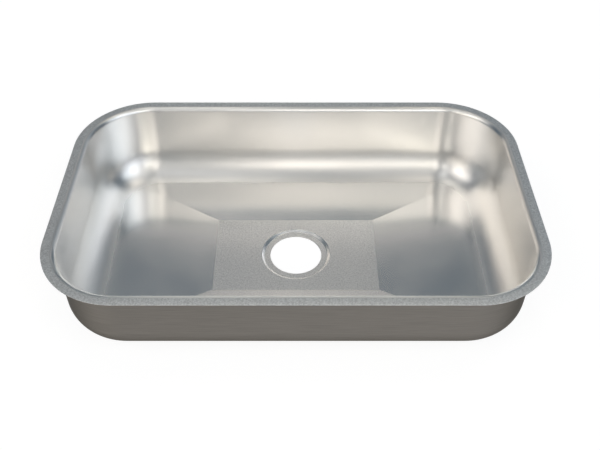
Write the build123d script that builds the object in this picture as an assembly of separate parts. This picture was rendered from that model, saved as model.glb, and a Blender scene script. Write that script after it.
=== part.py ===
from build123d import *
import math
import os

# Single-bowl undermount kitchen sink: a bowl and its flange drawn from one stainless sheet, with
# four rubber sound-deadening pads stuck under the floor. Millimetres, +Z up, +Y to the rear.
# The origin is under the middle of the sink, on the surface that it stands on.

# Sheet
sheet = 1.2

# Flange, seen from above
flange_length = 766.0
flange_depth = 481.5
flange_corner_radius = 124.5
flange_width = 14.0            # flat land, from the outer edge to where the sheet starts to bend
rim_bend_radius = 7.0          # on the upper skin, from the flange down into the wall

# Bowl, on the inner skin
panel_drop = 150.5             # from the flange's top face down to the flat panel round the drain
floor_rise = 8.25              # what the floor climbs from the panel out to its foot
floor_fillet = 51.0            # between the floor's foot and the walls
crease_radius = 2.0            # corner radius of the floor's level lines where its creases are sharp

# Where the creases end, as shares of the way from the panel out to the floor's foot
crease_end_share = 0.79        # towards the left and right walls
crease_side_share = 0.85       # towards the front and rear walls
crease_climb_share = 0.8       # of the floor's climb

# Drain seat, pressed down into the panel
drain_hole_radius = 44.75
seat_land = 10.5               # flat ring that the strainer's rim lies on
seat_flank = 4.5               # sloping side, as seen from above
seat_drop = 3.0
seat_mouth_bend = 0.6          # on the underside, where the panel turns down
seat_foot_bend = 1.4           # on the upper skin, where the flank meets the land

# Flat panel round the drain seat
panel_end_margin = 80.75       # from the seat to the panel's left and right edges
panel_side_margin = 24.0       # from the seat to its front and rear edges

# Sound-deadening pads, one under each sloping facet of the floor
pad_thickness = 4.0
pad_corner_radius = 12.0
pad_start_rise = 0.5           # climb of the facet at a pad's inner edge, so all four stand level
pad_outer_gap = 4.0            # from a pad's outer edge to the line where the facet bends up
pad_crease_gap = 5.0           # from a pad's inner corners to the creases between facets

# Worked out from the sizes above
wall_inset = flange_width + rim_bend_radius
bowl_half_length = flange_length / 2 - wall_inset
bowl_half_depth = flange_depth / 2 - wall_inset
bowl_corner_radius = flange_corner_radius - wall_inset
foot_drop = panel_drop - floor_rise
foot_corner_radius = bowl_corner_radius - floor_fillet
seat_foot_radius = drain_hole_radius + seat_land
seat_mouth_radius = seat_foot_radius + seat_flank
panel_half_length = seat_mouth_radius + panel_end_margin
panel_half_depth = seat_mouth_radius + panel_side_margin
end_run = bowl_half_length - floor_fillet - panel_half_length
side_run = bowl_half_depth - floor_fillet - panel_half_depth
end_facet_run = crease_end_share * end_run
side_facet_run = crease_side_share * side_run
end_slope = crease_climb_share * floor_rise / end_facet_run
side_slope = crease_climb_share * floor_rise / side_facet_run


def bowl_outline(grow):
    """The bowl seen from above, on the inner skin or on one that lies grow further out."""
    return RectangleRounded(
        2 * (bowl_half_length + grow), 2 * (bowl_half_depth + grow), bowl_corner_radius + grow
    )


def floor_level_line(end_share, side_share, climb_share, corner_radius, grow):
    """The floor's level outline at shares of its runs and climb, all 0 at the panel."""
    outline = RectangleRounded(
        2 * (panel_half_length + end_share * end_run),
        2 * (panel_half_depth + side_share * side_run),
        corner_radius,
    )
    return Pos(0, 0, -panel_drop - grow + climb_share * floor_rise) * outline


def creased_floor(grow):
    """What lies between the floor's foot and the panel: four flat facets that meet in creases."""
    crease_end = (crease_end_share, crease_side_share, crease_climb_share)
    level_lines = [
        floor_level_line(0, 0, 0, crease_radius, grow),
        floor_level_line(*crease_end, crease_radius, grow),
        floor_level_line(1, 1, 1, foot_corner_radius, grow),
    ]
    return loft(level_lines, ruled=True)


def seat_circle(shape, radius, height):
    """The full circle of that radius at that height about the drain's axis."""
    return [
        edge for edge in shape.edges().filter_by(GeomType.CIRCLE)
        if math.isclose(edge.radius, radius, abs_tol=0.01)
        and (edge.arc_center - Vector(0, 0, height)).length < 0.01
    ]


def add_drain_seat(space, grow):
    """Sinks the drain seat into the panel, on the skin that lies grow under the inner one."""
    flank_angle = math.atan2(seat_drop, seat_flank)
    wider = grow * math.tan(flank_angle / 2)
    foot_radius = seat_foot_radius + wider
    mouth_radius = seat_mouth_radius + wider
    mouth_height = -panel_drop - grow
    foot_height = mouth_height - seat_drop
    cone = Cone(foot_radius, mouth_radius, seat_drop, align=(Align.CENTER, Align.CENTER, Align.MIN))
    space = space + Pos(0, 0, foot_height) * cone
    space = fillet(seat_circle(space, mouth_radius, mouth_height), seat_mouth_bend + sheet - grow)
    return fillet(seat_circle(space, foot_radius, foot_height), seat_foot_bend + grow)


def bowl_space(grow):
    """The space inside the bowl up to the flange's top, or with grow out to a skin further out."""
    tub = extrude(bowl_outline(grow), -foot_drop - grow)
    tub = fillet(tub.faces().sort_by(Axis.Z)[0].edges(), floor_fillet + grow)
    return add_drain_seat(tub + creased_floor(grow), grow)


def level_face_hole(shape, order):
    """The edges of the opening in one of the shape's level faces, counted from below."""
    level_faces = shape.faces().filter_by(Axis.Z).sort_by(Axis.Z)
    return level_faces[order].inner_wires()[0].edges()


def sink_bowl():
    """The pressing: flange, rim bend, walls, creased floor and drain seat in one sheet."""
    flange = extrude(RectangleRounded(flange_length, flange_depth, flange_corner_radius), -sheet)
    pressing = bowl_space(sheet) + flange
    pressing = fillet(level_face_hole(pressing, -2), rim_bend_radius - sheet)
    pressing = pressing - bowl_space(0)
    pressing = fillet(level_face_hole(pressing, -1), rim_bend_radius)
    hole = Pos(0, 0, -panel_drop) * Cylinder(drain_hole_radius, 2 * (seat_drop + 2 * sheet))
    return pressing - hole


def floor_pad(outward, inner_edge, run, slope, half_width):
    """A flat rubber pad with round corners, face to face with the underside of one facet."""
    uphill = Vector(outward.X, outward.Y, slope).normalized()
    across = Vector(-outward.Y, outward.X, 0)
    start = pad_start_rise / slope
    reach = run - start - pad_outer_gap
    width = 2 * (half_width - pad_crease_gap)
    underside = Plane(
        origin=outward * inner_edge + Vector(0, 0, -panel_drop - sheet),
        x_dir=uphill,
        z_dir=uphill.cross(across),
    )
    slab = extrude(RectangleRounded(reach, width, pad_corner_radius), -pad_thickness)
    return underside * Pos(start + reach / 2, 0, 0) * slab


# Half the width of a facet where its pad starts, measured out to the creases
end_half_width = panel_half_depth + pad_start_rise / side_slope
side_half_width = panel_half_length + pad_start_rise / end_slope

nodes = {
    "sink_bowl": sink_bowl(),
    "floor_pad_left": floor_pad(
        Vector(-1, 0, 0), panel_half_length, end_facet_run, end_slope, end_half_width
    ),
    "floor_pad_right": floor_pad(
        Vector(1, 0, 0), panel_half_length, end_facet_run, end_slope, end_half_width
    ),
    "floor_pad_front": floor_pad(
        Vector(0, -1, 0), panel_half_depth, side_facet_run, side_slope, side_half_width
    ),
    "floor_pad_rear": floor_pad(
        Vector(0, 1, 0), panel_half_depth, side_facet_run, side_slope, side_half_width
    ),
}

lowest = min(shape.bounding_box().min.Z for shape in nodes.values())
os.makedirs("parts", exist_ok=True)
for name, shape in nodes.items():
    export_step(Pos(0, 0, -lowest) * shape, "parts/" + name + ".step")
print("flange top at", -lowest)
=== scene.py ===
import math

import bpy
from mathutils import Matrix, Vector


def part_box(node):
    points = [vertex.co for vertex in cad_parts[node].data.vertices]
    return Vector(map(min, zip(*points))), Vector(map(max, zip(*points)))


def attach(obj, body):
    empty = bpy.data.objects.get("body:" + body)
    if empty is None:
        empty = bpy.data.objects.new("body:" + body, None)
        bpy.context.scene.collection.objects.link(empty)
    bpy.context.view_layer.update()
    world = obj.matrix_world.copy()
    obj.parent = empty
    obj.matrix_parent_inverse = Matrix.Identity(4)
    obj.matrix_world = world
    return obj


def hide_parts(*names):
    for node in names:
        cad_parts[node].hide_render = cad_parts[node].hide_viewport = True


# Undermount sink, in metres and in the frame of the CAD part: +Z up, +X to the right, +Y to the
# rear. The drawn sheet is modelled here as one closed mesh with soft bends, rounded cut edges and
# a finish of its own for each zone. The rubber pads are the CAD ones.
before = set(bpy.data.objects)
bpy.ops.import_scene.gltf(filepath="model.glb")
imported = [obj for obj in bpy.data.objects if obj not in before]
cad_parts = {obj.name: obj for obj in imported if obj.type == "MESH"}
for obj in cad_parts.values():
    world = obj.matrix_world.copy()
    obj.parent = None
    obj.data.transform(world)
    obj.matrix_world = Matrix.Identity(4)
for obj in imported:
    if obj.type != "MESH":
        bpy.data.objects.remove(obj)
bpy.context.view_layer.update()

# the sheet, with the same sizes as the CAD part
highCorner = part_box("sink_bowl")[1]
flangeTop = highCorner[2]
bowl = {
    "halfLength": highCorner[0],
    "halfDepth": highCorner[1],
    "cornerRadius": 0.1245,       # of the flange, seen from above
    "sheet": 0.0012,
    "flangeWidth": 0.014,         # flat land round the bowl
    "rimBend": 0.007,             # on the upper skin, from the flange down into the wall
    "panelDrop": 0.1505,          # from the flange's top down to the flat panel
    "floorRise": 0.00825,         # what the floor climbs from the panel out to its foot
    "floorFillet": 0.051,         # between the floor's foot and the walls
    "creaseEndShare": 0.79,       # where the creases end, on the way to the left and right walls
    "creaseSideShare": 0.85,      # and on the way to the front and rear walls
    "creaseClimbShare": 0.8,      # of the floor's climb
    "panelEndMargin": 0.08075,    # from the drain seat to the panel's left and right edges
    "panelSideMargin": 0.024,     # from the drain seat to its front and rear edges
    "holeRadius": 0.04475,
    "seatLand": 0.0105,           # flat ring that the strainer's rim lies on
    "seatFlank": 0.0045,          # sloping side, as seen from above
    "seatDrop": 0.003,
    "seatMouthBend": 0.0018,
    "seatFootBend": 0.0014,

    # how finely and how softly it is meshed
    "cornerSteps": 28,
    "longSteps": 48,              # along the front and rear sides
    "shortSteps": 32,             # along the left and right sides
    "cutEdge": 0.00025,           # rounding of the sheet's cut edges
    "cutEdgeSteps": 3,
    "rimSteps": 12,
    "wallRings": (0.02, 0.5, 0.98),
    "filletSteps": 30,
    "floorSteps": 26,
    "seatBendSteps": 6,
    "creaseRound": 0.0012,        # corner radius of the floor's level lines along the creases
    "footBlend": 0.003,           # height over which the facets melt together at the foot
    "footProbe": 0.001,           # how far out the floor's slope is read at the foot
    "rimFlat": 0.0008,            # the flange stays flat up to this close to the rim's bend
    "panelFlat": 0.006,           # the same at the panel's edge, as a share of the way out
    "seatFlat": 0.0015,           # the same at the seat's mouth
    "holeFlat": 0.002,            # the same at the drain hole's rounded edge
    "fadeFrom": 22,               # step of the fillet where the brushed finish starts to fade
    "fadeRings": 14,              # rings over which it fades
    "seatSmoothness": 0.7,        # finish of the seat's bends, where 1 is as smooth as the facets
}

# worked out from the sizes above
wallInset = bowl["flangeWidth"] + bowl["rimBend"]
footInset = wallInset + bowl["floorFillet"]
footHalfLength = bowl["halfLength"] - footInset
footHalfDepth = bowl["halfDepth"] - footInset
footRadius = bowl["cornerRadius"] - footInset
seatFoot = bowl["holeRadius"] + bowl["seatLand"]
seatMouth = seatFoot + bowl["seatFlank"]
panelHalfLength = seatMouth + bowl["panelEndMargin"]
panelHalfDepth = seatMouth + bowl["panelSideMargin"]
creaseClimb = bowl["creaseClimbShare"] * bowl["floorRise"]
endSlope = creaseClimb / (bowl["creaseEndShare"] * (footHalfLength - panelHalfLength))
sideSlope = creaseClimb / (bowl["creaseSideShare"] * (footHalfDepth - panelHalfDepth))


def smoothStep(share):
    return share * share * (3 - 2 * share)


def outlineSpots():
    # places round a rounded rectangle, anticlockwise from the right end, as (ux, uy, nx, ny):
    # u says where on the straight sides' frame a place sits, n points out of the corner's arc
    spots = []
    for turn in range(4):
        ahead, behind = turn * math.pi / 2, (turn + 1) * math.pi / 2
        straight = bowl["shortSteps"] if turn % 2 == 0 else bowl["longSteps"]
        nx, ny = round(math.cos(ahead)), round(math.sin(ahead))
        for step in range(straight):
            along = math.sin(math.pi * (step / straight - 0.5))
            spots.append((nx - ny * along, ny + nx * along, nx, ny))
        cornerX = round(math.cos(ahead) + math.cos(behind))
        cornerY = round(math.sin(ahead) + math.sin(behind))
        for step in range(bowl["cornerSteps"]):
            angle = ahead + (behind - ahead) * step / bowl["cornerSteps"]
            spots.append((cornerX, cornerY, math.cos(angle), math.sin(angle)))
    return spots


def onOutline(spot, halfLength, halfDepth, radius):
    ux, uy, nx, ny = spot
    return (
        ux * (halfLength - radius) + nx * radius,
        uy * (halfDepth - radius) + ny * radius,
    )


def atInset(spot, inset):
    return onOutline(
        spot, bowl["halfLength"] - inset, bowl["halfDepth"] - inset, bowl["cornerRadius"] - inset
    )


def softMax(a, b, blend):
    rest = blend - abs(a - b)
    if rest <= 0:
        return max(a, b)
    return max(a, b) + rest * rest / (4 * blend)


def floorClimb(x, y, blend):
    # how far the floor has climbed above the panel
    end = endSlope * (abs(x) - panelHalfLength)
    side = sideSlope * (abs(y) - panelHalfDepth)
    return max(0.0, softMax(end, side, blend))


def bendPoints(corner, before, after, radius):
    # a tangent arc in a profile of (distance, height) points, from one leg to the next
    ax, az = before[0] - corner[0], before[1] - corner[1]
    bx, bz = after[0] - corner[0], after[1] - corner[1]
    beforeLength, afterLength = math.hypot(ax, az), math.hypot(bx, bz)
    ax, az, bx, bz = ax / beforeLength, az / beforeLength, bx / afterLength, bz / afterLength
    opening = math.acos(max(-1, min(1, ax * bx + az * bz)))
    leg = radius / math.tan(opening / 2)
    midX, midZ = ax + bx, az + bz
    scale = radius / math.sin(opening / 2) / math.hypot(midX, midZ)
    centreX, centreZ = corner[0] + midX * scale, corner[1] + midZ * scale
    first = math.atan2(corner[1] + az * leg - centreZ, corner[0] + ax * leg - centreX)
    last = math.atan2(corner[1] + bz * leg - centreZ, corner[0] + bx * leg - centreX)
    sweep = (last - first + math.pi) % (2 * math.pi) - math.pi
    steps = bowl["seatBendSteps"]
    angles = [first + sweep * step / steps for step in range(steps + 1)]
    return [
        (centreX + radius * math.cos(angle), centreZ + radius * math.sin(angle))
        for angle in angles
    ]


def flangeRings(spots, depth):
    # the cut edge, the flat land and the bend down into the wall
    def level(inset, drop):
        return [(*atInset(spot, inset), flangeTop - drop) for spot in spots]

    rings = []
    edge = bowl["cutEdge"]
    inward = 1 if depth == 0 else -1
    for step in range(bowl["cutEdgeSteps"] + 1):
        angle = math.pi / 2 * step / bowl["cutEdgeSteps"]
        drop = depth + inward * edge * (1 - math.sin(angle))
        rings.append(("flange", level(edge * (1 - math.cos(angle)), drop)))
    rings.append(("flange", level(bowl["flangeWidth"] - bowl["rimFlat"], depth)))
    bend = bowl["rimBend"] - depth
    for step in range(bowl["rimSteps"] + 1):
        angle = math.pi / 2 * step / bowl["rimSteps"]
        inset = bowl["flangeWidth"] + bend * math.sin(angle)
        rings.append(("bend", level(inset, bowl["rimBend"] - bend * math.cos(angle))))
    return rings


def wallRings(spots, depth):
    # the upright wall and the fillet, which ends where it meets the floor's slope at that place
    fillet, blend, probe = bowl["floorFillet"], bowl["footBlend"], bowl["footProbe"]
    centres, ends = [], []
    for spot in spots:
        x, y = atInset(spot, footInset)
        climb = floorClimb(x, y, blend)
        further = floorClimb(x + spot[2] * probe, y + spot[3] * probe, blend)
        slope = math.atan((further - climb) / probe)
        centres.append(-bowl["panelDrop"] + climb + fillet / math.cos(slope))
        ends.append(math.pi / 2 - slope)
    rings = []
    for share in bowl["wallRings"]:
        rings.append(("wall", [
            (
                *atInset(spot, wallInset - depth),
                flangeTop - bowl["rimBend"] + share * (centre + bowl["rimBend"]),
            )
            for spot, centre in zip(spots, centres)
        ]))
    reach = fillet + depth
    for step in range(bowl["filletSteps"] + 1):
        ring = []
        for spot, centre, end in zip(spots, centres, ends):
            angle = end * step / bowl["filletSteps"]
            x, y = atInset(spot, footInset - reach * math.cos(angle))
            ring.append((x, y, flangeTop + centre - reach * math.sin(angle)))
        rings.append(("fillet", ring))
    return rings


def floorRings(spots, depth):
    # four flat facets that meet in creases, from the foot in to the panel
    def floorRing(share):
        faded = max(0.0, (share - bowl["creaseEndShare"]) / (1 - bowl["creaseEndShare"]))
        faded = smoothStep(faded)
        radius = bowl["creaseRound"] + (footRadius - bowl["creaseRound"]) * faded
        halfLength = panelHalfLength + share * (footHalfLength - panelHalfLength)
        halfDepth = panelHalfDepth + share * (footHalfDepth - panelHalfDepth)
        ring = []
        for spot in spots:
            x, y = onOutline(spot, halfLength, halfDepth, radius)
            climb = floorClimb(x, y, bowl["footBlend"] * faded)
            ring.append((x, y, flangeTop - bowl["panelDrop"] - depth + climb))
        return ring

    steps = bowl["floorSteps"]
    shares = [1 - step / steps for step in range(steps)] + [bowl["panelFlat"], 0.0]
    rings = [("facet", floorRing(share)) for share in shares]
    rings.append(("panel", floorRing(-bowl["panelFlat"])))
    return rings


def seatRings(count, depth):
    # the drain seat: mouth bend, flank, foot bend, land and the hole's cut edge
    flank = math.atan2(bowl["seatDrop"], bowl["seatFlank"])
    wider = depth * math.tan(flank / 2)
    foot, mouth = seatFoot + wider, seatMouth + wider
    high = flangeTop - bowl["panelDrop"] - depth
    low = high - bowl["seatDrop"]
    mouthBend = bendPoints(
        (mouth, high), (mouth + 1, high), (foot, low), bowl["seatMouthBend"] - depth
    )
    footBend = bendPoints(
        (foot, low), (mouth, high), (foot - 1, low), bowl["seatFootBend"] + depth
    )
    profile = [("land", mouth + bowl["seatFlat"], high)]
    for bend in (mouthBend, footBend):
        profile.append(("land", *bend[0]))
        profile += [("seatBend", *point) for point in bend[1:]]
    hole, edge = bowl["holeRadius"], bowl["cutEdge"]
    profile.append(("land", hole + edge + bowl["holeFlat"], low))
    inward = 1 if depth == 0 else -1
    for step in range(bowl["cutEdgeSteps"] + 1):
        angle = math.pi / 2 * step / bowl["cutEdgeSteps"]
        drop = inward * edge * (1 - math.cos(angle))
        profile.append(("land", hole + edge * (1 - math.sin(angle)), low - drop))
    begin = -bowl["shortSteps"] / 2     # so that the circles start beside the first spot
    angles = [2 * math.pi * (index + begin) / count for index in range(count)]
    return [
        (zone, [(away * math.cos(angle), away * math.sin(angle), height) for angle in angles])
        for zone, away, height in profile
    ]


def skinRings(spots, depth):
    # (zone, points) rings from the flange's edge in to the drain hole, on the skin that lies that
    # deep in the sheet: 0 is the upper skin, the sheet's thickness the lower one. A zone is that
    # of the strip before its ring.
    rings = flangeRings(spots, depth) + wallRings(spots, depth) + floorRings(spots, depth)
    return rings + seatRings(len(spots), depth)


# the finish of each zone, as its place among the sheet's materials
zoneFinish = {
    "flange": 0,
    "bend": 1,
    "wall": 1,
    "fillet": 1,
    "facet": 1,
    "seatBend": 1,
    "panel": 2,
    "land": 2,
    "under": 3,
}


def buildBowl():
    spots = outlineSpots()
    upper, lower = skinRings(spots, 0), skinRings(spots, bowl["sheet"])
    rings = upper + [("under", ring) for zone, ring in lower[::-1]]
    count, total = len(spots), len(rings)
    points = [point for zone, ring in rings for point in ring]
    faces, finishes, places = [], [], []
    for row in range(total):
        following = (row + 1) % total
        zone = rings[following][0] if row < len(upper) - 1 else "under"
        low, high = row / total, (row + 1) / total
        for column in range(count):
            side = (column + 1) % count
            faces.append((
                row * count + column,
                row * count + side,
                following * count + side,
                following * count + column,
            ))
            finishes.append(zoneFinish[zone])
            left, right = column / count, (column + 1) / count
            places += [left, low, right, low, right, high, left, high]
    mesh = bpy.data.meshes.new("sink_bowl_sheet")
    mesh.from_pydata(points, [], faces)
    mesh.polygons.foreach_set("material_index", finishes)
    mesh.polygons.foreach_set("use_smooth", [True] * len(faces))
    around = mesh.uv_layers.new(name="around")      # U runs round the bowl, as the brushing does
    around.data.foreach_set("uv", places)
    floorShare = mesh.attributes.new("floorShare", "FLOAT", "POINT")
    floorShare.data.foreach_set("value", [share for share in fadeOfRings(rings) for _ in spots])
    mesh.update()
    piece = bpy.data.objects.new("sink_bowl_sheet", mesh)
    bpy.context.scene.collection.objects.link(piece)
    return piece


def fadeOfRings(rings):
    # 0 where the sheet is brushed, 1 on the smooth facets
    zones = [zone for zone, ring in rings]
    firstFillet, firstPanel = zones.index("fillet"), zones.index("panel")
    fades = []
    for row in range(len(rings)):
        share = (row - firstFillet - bowl["fadeFrom"]) / bowl["fadeRings"]
        share = max(0.0, min(1.0, share)) if row <= firstPanel else bowl["seatSmoothness"]
        fades.append(smoothStep(share))
    return fades


def newMaterial(name):
    material = bpy.data.materials.new(name)
    material.use_nodes = True
    tree = material.node_tree
    return material, tree, tree.nodes["Principled BSDF"]


def addNode(tree, kind, values=None, **settings):
    made = tree.nodes.new(kind)
    for name, value in settings.items():
        setattr(made, name, value)
    for name, value in (values or {}).items():
        made.inputs[name].default_value = value
    return made


def larger(tree, first, second):
    # the larger of two sockets
    made = addNode(tree, "ShaderNodeMath", operation="MAXIMUM")
    tree.links.new(first, made.inputs[0])
    tree.links.new(second, made.inputs[1])
    return made.outputs["Value"]


# grain is how far the colour strays, grainSize its width and bump its depth, both in metres.
# brushed stretches the gloss across the brushing, which runs round the bowl. edgeTint dims what
# the steel mirrors at a grazing angle.
steelFinishes = {
    "flange": {                   # blasted to a fine grain
        "name": "steel_flange",
        "colour": (0.66, 0.67, 0.67),
        "roughness": 0.5,
        "grain": 0.22,
        "grainSize": 0.0022,
        "bump": 0.00012,
    },
    "wall": {                     # brushed walls and fillet, fading into the smooth facets
        "name": "steel_wall",
        "colour": (0.79, 0.78, 0.76),
        "roughness": 0.33,
        "floorRoughness": 0.19,
        "grain": 0.03,
        "grainSize": 0.0006,
        "bump": 0.00001,
        "brushed": 0.8,
    },
    "panel": {                    # grained like the flange, but glossier
        "name": "steel_panel",
        "colour": (0.78, 0.77, 0.755),
        "roughness": 0.30,
        "grain": 0.22,
        "grainSize": 0.0022,
        "bump": 0.00010,
    },
    "outside": {                  # dark base colour is painted shade, standing in for the dark surroundings the outside mirrors; fine lines round the bowl
        "name": "steel_outside",
        # painted shade: this dark colour makes the outside look as if it mirrored dark surroundings
        "colour": (0.197, 0.184, 0.167),
        "roughness": 0.38,
        "grain": 0.10,
        "grainSize": 0.0016,
        "stretch": (0.03, 0.03, 1.0),
        "bump": 0.00002,
        "brushed": 0.8,
        "edgeTint": 0.3,
    },
}

steelNoise = {
    "fineDetail": 3.0,
    "fineRoughness": 0.6,
    "darkest": 0.3,               # reading of the fine noise that gives the darkest grain
    "lightest": 0.7,
    "broadScale": 14.0,           # slow drift of the gloss, in waves a metre
    "broadDetail": 3.0,
    "drift": 0.04,
    "bumpStrength": 0.5,
    "acrossBrushing": 0.25,       # quarter turn of the stretched gloss
}


def steel(finish):
    material, tree, shader = newMaterial(finish["name"])
    link = tree.links.new
    roughness = finish["roughness"]
    brushed = finish.get("brushed", 0.0)
    edgeTint = finish.get("edgeTint", 1.0)
    shader.inputs["Metallic"].default_value = 1.0
    shader.inputs["Specular Tint"].default_value = (edgeTint, edgeTint, edgeTint, 1)

    # grain in the colour
    place = addNode(tree, "ShaderNodeTexCoord")
    stretch = addNode(tree, "ShaderNodeMapping", {"Scale": finish.get("stretch", (1, 1, 1))})
    link(place.outputs["Object"], stretch.inputs["Vector"])
    fine = addNode(tree, "ShaderNodeTexNoise", {
        "Scale": 1 / finish["grainSize"],
        "Detail": steelNoise["fineDetail"],
        "Roughness": steelNoise["fineRoughness"],
    })
    link(stretch.outputs["Vector"], fine.inputs["Vector"])
    tone = addNode(tree, "ShaderNodeMapRange", {
        "From Min": steelNoise["darkest"],
        "From Max": steelNoise["lightest"],
        "To Min": 1 - finish["grain"],
        "To Max": 1 + finish["grain"],
    })
    link(fine.outputs["Fac"], tone.inputs["Value"])
    tint = addNode(tree, "ShaderNodeVectorMath", operation="SCALE")
    tint.inputs[0].default_value = finish["colour"]
    link(tone.outputs["Result"], tint.inputs["Scale"])
    link(tint.outputs["Vector"], shader.inputs["Base Color"])

    # slow drift of the gloss
    broad = addNode(tree, "ShaderNodeTexNoise", {
        "Scale": steelNoise["broadScale"],
        "Detail": steelNoise["broadDetail"],
    })
    link(place.outputs["Object"], broad.inputs["Vector"])
    rough = addNode(tree, "ShaderNodeMapRange", {
        "To Min": roughness - steelNoise["drift"],
        "To Max": roughness + steelNoise["drift"],
    })
    link(broad.outputs["Fac"], rough.inputs["Value"])

    if "floorRoughness" in finish:
        # the mesh says how far the brushing has faded
        faded = addNode(tree, "ShaderNodeAttribute", attribute_name="floorShare")
        fallen = addNode(tree, "ShaderNodeMath", operation="MULTIPLY_ADD")
        fallen.inputs[1].default_value = finish["floorRoughness"] - roughness
        link(faded.outputs["Fac"], fallen.inputs[0])
        link(rough.outputs["Result"], fallen.inputs[2])
        link(fallen.outputs["Value"], shader.inputs["Roughness"])
        left = addNode(tree, "ShaderNodeMath", operation="MULTIPLY_ADD")
        left.inputs[1].default_value = -brushed
        left.inputs[2].default_value = brushed
        link(faded.outputs["Fac"], left.inputs[0])
        link(left.outputs["Value"], shader.inputs["Anisotropic"])
    else:
        link(rough.outputs["Result"], shader.inputs["Roughness"])
        shader.inputs["Anisotropic"].default_value = brushed
    if brushed:
        shader.inputs["Anisotropic Rotation"].default_value = steelNoise["acrossBrushing"]
        lines = addNode(tree, "ShaderNodeTangent", direction_type="UV_MAP", uv_map="around")
        link(lines.outputs["Tangent"], shader.inputs["Tangent"])

    bump = addNode(tree, "ShaderNodeBump", {
        "Strength": steelNoise["bumpStrength"],
        "Distance": finish["bump"],
    })
    link(fine.outputs["Fac"], bump.inputs["Height"])
    link(bump.outputs["Normal"], shader.inputs["Normal"])
    return material


# sound-deadening rubber under the floor
pads = {
    "names": ("floor_pad_left", "floor_pad_right", "floor_pad_front", "floor_pad_rear"),
    "colour": (0.05, 0.05, 0.052),
    "darker": 0.7,                # share of the colour in the grain's pits
    "lighter": 1.4,
    "grainScale": 900.0,
    "grainDetail": 4.0,
    "pitReading": 0.3,            # reading of the noise in the pits, and on the peaks
    "peakReading": 0.75,
    "roughness": 0.85,
    "bumpStrength": 0.6,
    "bump": 0.00025,
}


def padRubber():
    material, tree, shader = newMaterial("pad_rubber_matt")
    link = tree.links.new
    place = addNode(tree, "ShaderNodeTexCoord")
    fine = addNode(tree, "ShaderNodeTexNoise", {
        "Scale": pads["grainScale"],
        "Detail": pads["grainDetail"],
    })
    link(place.outputs["Object"], fine.inputs["Vector"])
    shade = addNode(tree, "ShaderNodeValToRGB")
    pit, peak = shade.color_ramp.elements
    pit.position, peak.position = pads["pitReading"], pads["peakReading"]
    pit.color = (*[value * pads["darker"] for value in pads["colour"]], 1)
    peak.color = (*[value * pads["lighter"] for value in pads["colour"]], 1)
    link(fine.outputs["Fac"], shade.inputs["Fac"])
    link(shade.outputs["Color"], shader.inputs["Base Color"])
    shader.inputs["Roughness"].default_value = pads["roughness"]
    bump = addNode(tree, "ShaderNodeBump", {
        "Strength": pads["bumpStrength"],
        "Distance": pads["bump"],
    })
    link(fine.outputs["Fac"], bump.inputs["Height"])
    link(bump.outputs["Normal"], shader.inputs["Normal"])
    return material


sheetPiece = buildBowl()
for place in ("flange", "wall", "panel", "outside"):     # in the order of zoneFinish
    sheetPiece.data.materials.append(steel(steelFinishes[place]))
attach(sheetPiece, "root")
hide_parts("sink_bowl")
print("bowl sheet built,", len(sheetPiece.data.polygons), "faces")

rubber = padRubber()
for name in pads["names"]:
    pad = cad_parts[name]
    if not pad.data.materials:
        pad.data.materials.append(rubber)
    for slot in pad.material_slots:
        slot.material = rubber
print("pads dressed,", len(pads["names"]))

floorSheet = {
    "half": 9.0,
    "shade": 0.72,                # as it lights the sink
    "roughness": 0.9,
    "seenShade": 0.22,            # as the camera and the steel see it, with its shadow
    "seenGlow": 0.86,
}


def grey(value):
    return (value, value, value, 1)


def buildFloor():
    half = floorSheet["half"]
    corners = [(-half, -half, 0), (half, -half, 0), (half, half, 0), (-half, half, 0)]
    mesh = bpy.data.meshes.new("studio_floor")
    mesh.from_pydata(corners, [], [(0, 1, 2, 3)])
    piece = bpy.data.objects.new("studio_floor", mesh)
    bpy.context.scene.collection.objects.link(piece)
    material, tree, shader = newMaterial("floor_white")
    link = tree.links.new
    shader.inputs["Base Color"].default_value = grey(floorSheet["shade"])
    shader.inputs["Roughness"].default_value = floorSheet["roughness"]
    path = addNode(tree, "ShaderNodeLightPath")
    seen = larger(tree, path.outputs["Is Camera Ray"], path.outputs["Is Glossy Ray"])
    seen = larger(tree, seen, path.outputs["Is Transmission Ray"])
    shadowed = addNode(tree, "ShaderNodeBsdfDiffuse", {"Color": grey(floorSheet["seenShade"])})
    glow = addNode(tree, "ShaderNodeEmission", {"Strength": floorSheet["seenGlow"]})
    pale = addNode(tree, "ShaderNodeAddShader")
    link(shadowed.outputs["BSDF"], pale.inputs[0])
    link(glow.outputs["Emission"], pale.inputs[1])
    mix = addNode(tree, "ShaderNodeMixShader")
    link(seen, mix.inputs["Fac"])
    link(shader.outputs["BSDF"], mix.inputs[1])
    link(pale.outputs["Shader"], mix.inputs[2])
    link(mix.outputs["Shader"], tree.nodes["Material Output"].inputs["Surface"])
    piece.data.materials.append(material)
    return piece


floor = buildFloor()
print("floor laid")

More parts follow.
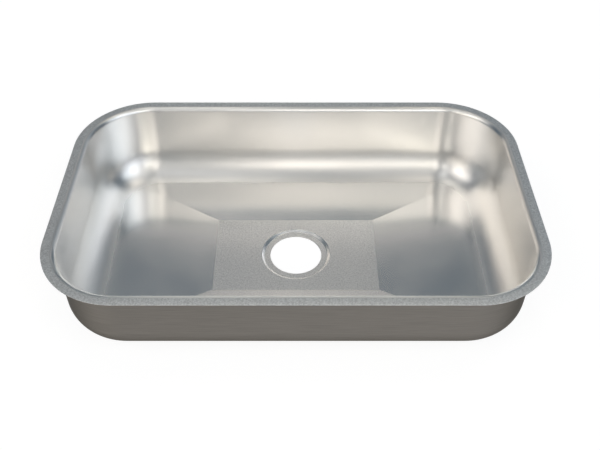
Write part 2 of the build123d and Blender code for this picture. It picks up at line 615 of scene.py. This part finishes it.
# Soft lights, seen from the sink: azimuth and height in degrees, 270 is the front and 90 the rear.
# wide and tall are half sizes as sines, and glow is how bright a light looks, where 1 is white.
studio = {
    "room": (0.05, 0.09, 0.13),
    "edge": 0.7,                  # share of each light over which it fades out
    "lights": {
        "left window": {
            "azimuth": 208, "height": 41, "wide": 0.58, "tall": 0.37, "glow": (2.5, 2.35, 2.2),
        },
        "right window": {
            "azimuth": 332, "height": 37, "wide": 0.42, "tall": 0.38, "glow": (1.85, 1.95, 2.05),
        },
        "right window, upper glow": {
            "azimuth": 310, "height": 49, "wide": 0.35, "tall": 0.72, "glow": (0.9, 0.85, 0.8),
        },
        "front lamp, left": {
            "azimuth": 250, "height": 36, "wide": 0.13, "tall": 0.15, "glow": (3.9, 3.7, 3.4),
        },
        "front lamp, middle": {
            "azimuth": 270, "height": 36, "wide": 0.13, "tall": 0.44, "glow": (2.9, 2.7, 2.45),
        },
        "front lamp, right": {
            "azimuth": 286, "height": 32, "wide": 0.21, "tall": 0.21, "glow": (3.7, 3.5, 3.1),
        },
        "low front strip, left": {
            "azimuth": 231, "height": 12, "wide": 0.65, "tall": 0.15, "glow": (4.55, 4.15, 3.65),
        },
        "low front strip, right": {
            "azimuth": 301, "height": 13, "wide": 0.79, "tall": 0.15, "glow": (3.7, 3.85, 4.2),
        },
        "ceiling lamp, front left": {
            "azimuth": 243, "height": 69, "wide": 0.14, "tall": 0.38, "glow": (1.45, 1.4, 1.35),
        },
        "ceiling lamp, rear left": {
            "azimuth": 120, "height": 74, "wide": 0.13, "tall": 0.30, "glow": (2.5, 2.35, 2.1),
        },
        "ceiling lamp, rear right": {
            "azimuth": 26, "height": 72, "wide": 0.16, "tall": 0.23, "glow": (2.9, 2.6, 2.2),
        },
        "rear wall, top left": {
            "azimuth": 102, "height": 63, "wide": 0.12, "tall": 0.14, "glow": (1.7, 1.55, 1.4),
        },
        "rear wall, top right": {
            "azimuth": 68, "height": 63, "wide": 0.12, "tall": 0.14, "glow": (2.3, 2.05, 1.6),
        },
        "rear wall, upper strip": {
            "azimuth": 90, "height": 56, "wide": 0.32, "tall": 0.09, "glow": (0.4, 0.38, 0.35),
        },
        "rear wall, lower strip": {
            "azimuth": 90, "height": 42, "wide": 0.32, "tall": 0.09, "glow": (1.0, 0.9, 0.8),
        },
        "rear wall, foot": {
            "azimuth": 91, "height": 5, "wide": 0.45, "tall": 0.19, "glow": (2.2, 2.15, 2.0),
        },
        "rear left corner": {
            "azimuth": 132, "height": 7, "wide": 0.33, "tall": 0.75, "glow": (0.75, 0.65, 0.55),
        },
        "rear right corner": {
            "azimuth": 46, "height": 20, "wide": 0.26, "tall": 1.06, "glow": (0.45, 0.45, 0.45),
        },
    },
}


def lightStudio():
    world = bpy.context.scene.world or bpy.data.worlds.new("studio")
    bpy.context.scene.world = world
    world.use_nodes = True
    tree = world.node_tree
    link = tree.links.new
    lit = tree.nodes["Background"]
    direction = addNode(tree, "ShaderNodeTexCoord")
    roomX, roomY, roomZ = studio["room"]
    room = addNode(tree, "ShaderNodeCombineXYZ", {"X": roomX, "Y": roomY, "Z": roomZ})
    total = room.outputs["Vector"]
    for light in studio["lights"].values():
        turn, rise = math.radians(light["azimuth"]), math.radians(light["height"])
        towards = (
            math.cos(rise) * math.cos(turn), math.cos(rise) * math.sin(turn), math.sin(rise)
        )
        oval = addNode(tree, "ShaderNodeMapping", vector_type="TEXTURE")
        oval.inputs["Location"].default_value = towards
        oval.inputs["Rotation"].default_value = (0, -rise, turn)
        oval.inputs["Scale"].default_value = (1, light["wide"], light["tall"])
        link(direction.outputs["Generated"], oval.inputs["Vector"])
        ball = addNode(tree, "ShaderNodeTexGradient", gradient_type="SPHERICAL")
        link(oval.outputs["Vector"], ball.inputs["Vector"])
        soft = addNode(
            tree, "ShaderNodeMapRange", {"From Max": studio["edge"]}, interpolation_type="SMOOTHSTEP"
        )
        link(ball.outputs["Fac"], soft.inputs["Value"])
        added = addNode(tree, "ShaderNodeVectorMath", operation="MULTIPLY_ADD")
        added.inputs[0].default_value = light["glow"]
        link(soft.outputs["Result"], added.inputs[1])
        link(total, added.inputs[2])
        total = added.outputs["Vector"]
    link(total, lit.inputs["Color"])

    # past the floor's edge the picture is white, while the steel mirrors the lights themselves
    path = addNode(tree, "ShaderNodeLightPath")
    seen = larger(tree, path.outputs["Is Camera Ray"], path.outputs["Is Transmission Ray"])
    white = addNode(tree, "ShaderNodeBackground", {"Color": grey(1)})
    mix = addNode(tree, "ShaderNodeMixShader")
    link(seen, mix.inputs["Fac"])
    link(lit.outputs["Background"], mix.inputs[1])
    link(white.outputs["Background"], mix.inputs[2])
    link(mix.outputs["Shader"], tree.nodes["World Output"].inputs["Surface"])


lightStudio()
bpy.context.scene.view_settings.view_transform = "Standard"
print("studio lit,", len(studio["lights"]), "soft lights")

photoCamera = {
    "back": 0.91176,              # in front of the sink's middle
    "above": 0.81924,             # over the flange
    "down": 44.65,                # degrees below the horizon
    "lens": 45.367,               # millimetres, on a sensor 36 wide
    "sensor": 36,
    "shift": (0.0069, 0.00077),
}


def placeCamera():
    data = bpy.data.cameras.new("photo_camera")
    data.sensor_width = photoCamera["sensor"]
    data.lens = photoCamera["lens"]
    data.shift_x, data.shift_y = photoCamera["shift"]
    camera = bpy.data.objects.new("photo_camera", data)
    bpy.context.scene.collection.objects.link(camera)
    camera.location = (0, -photoCamera["back"], flangeTop + photoCamera["above"])
    camera.rotation_euler = (math.radians(90 - photoCamera["down"]), 0, 0)
    bpy.context.scene.camera = camera


placeCamera()
print("camera placed")
